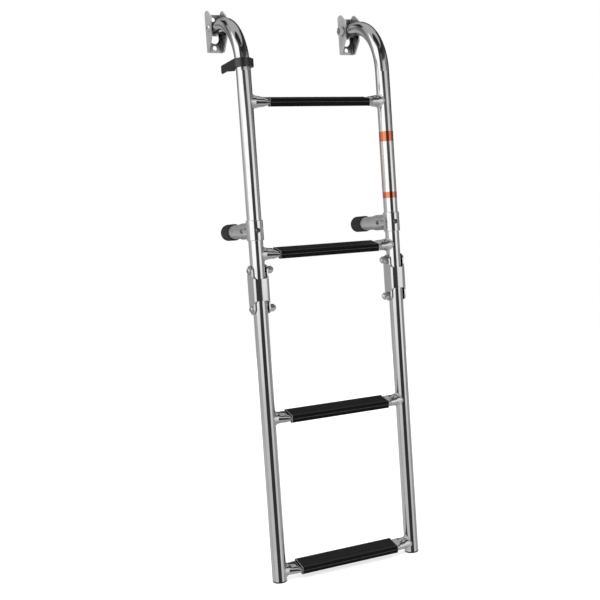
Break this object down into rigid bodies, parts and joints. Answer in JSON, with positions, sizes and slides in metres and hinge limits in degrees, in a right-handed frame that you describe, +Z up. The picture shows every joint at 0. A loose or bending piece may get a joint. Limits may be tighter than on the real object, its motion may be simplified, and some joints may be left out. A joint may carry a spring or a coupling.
{
  "type": "folding swim ladder",
  "caption": "Folding stainless swim ladder with flat treads, hinge links, transom brackets and rubber-capped standoffs.",
  "frame": {"origin": "middle of the left bracket's flat back face, between its two screw holes", "axes": "+X to the right as a swimmer in the water sees it, +Y towards the boat, +Z up"},
  "size_m": [0.3078, 0.1529, 1.014],
  "materials": {
    "polished_tube": "polished stainless tube",
    "polished_fitting": "polished stainless fitting, a little softer than the tube",
    "bracket_steel": "satin pressed stainless plate",
    "fastener_steel": "bright stainless bolts, nuts and screws",
    "tread_plastic": "matt black ribbed moulding",
    "black_rubber": "black soft rubber",
    "black_plastic": "black plug",
    "strap_webbing": "black hook and loop webbing"
  },
  "bodies": {
    "brackets": {"left_bracket": "bracket_steel", "left_pivot_bolt": "fastener_steel", "left_pivot_nut": "fastener_steel", "right_bracket": "bracket_steel", "right_pivot_bolt": "fastener_steel", "right_pivot_nut": "fastener_steel"},
    "upper_section": {"left_upper_rail": "polished_tube", "left_standoff_clamp": "polished_fitting", "left_standoff_tube": "polished_tube", "left_standoff_cap": "black_rubber", "left_standoff_screws": "fastener_steel", "right_upper_rail": "polished_tube", "right_standoff_clamp": "polished_fitting", "right_standoff_tube": "polished_tube", "right_standoff_cap": "black_rubber", "right_standoff_screws": "fastener_steel", "rung_1": "polished_tube", "rung_2": "polished_tube", "tread_1": "tread_plastic", "tread_2": "tread_plastic", "strap": "strap_webbing"},
    "hinge_links": {"left_hinge_link": "polished_fitting", "left_upper_hinge_bolt": "fastener_steel", "left_upper_hinge_nut": "fastener_steel", "left_lower_hinge_bolt": "fastener_steel", "left_lower_hinge_nut": "fastener_steel", "right_hinge_link": "polished_fitting", "right_upper_hinge_bolt": "fastener_steel", "right_upper_hinge_nut": "fastener_steel", "right_lower_hinge_bolt": "fastener_steel", "right_lower_hinge_nut": "fastener_steel"},
    "lower_section": {"left_lower_rail": "polished_tube", "left_end_plug": "black_plastic", "right_lower_rail": "polished_tube", "right_end_plug": "black_plastic", "rung_3": "polished_tube", "rung_4": "polished_tube", "tread_3": "tread_plastic", "tread_4": "tread_plastic"}
  },
  "joints": [
    {"name": "ladder_pivot", "type": "hinge", "parent": "brackets", "child": "upper_section", "pos_m": [0.134, -0.023, 0.006], "axis": [-1, 0, 0], "range_deg": [0, 90]},
    {"name": "link_fold", "type": "hinge", "parent": "upper_section", "child": "hinge_links", "pos_m": [0.134, -0.135, -0.429], "axis": [-1, 0, 0], "range_deg": [0, 90]},
    {"name": "lower_fold", "type": "hinge", "parent": "hinge_links", "child": "lower_section", "pos_m": [0.134, -0.135, -0.495], "axis": [-1, 0, 0], "range_deg": [0, 90]}
  ]
}
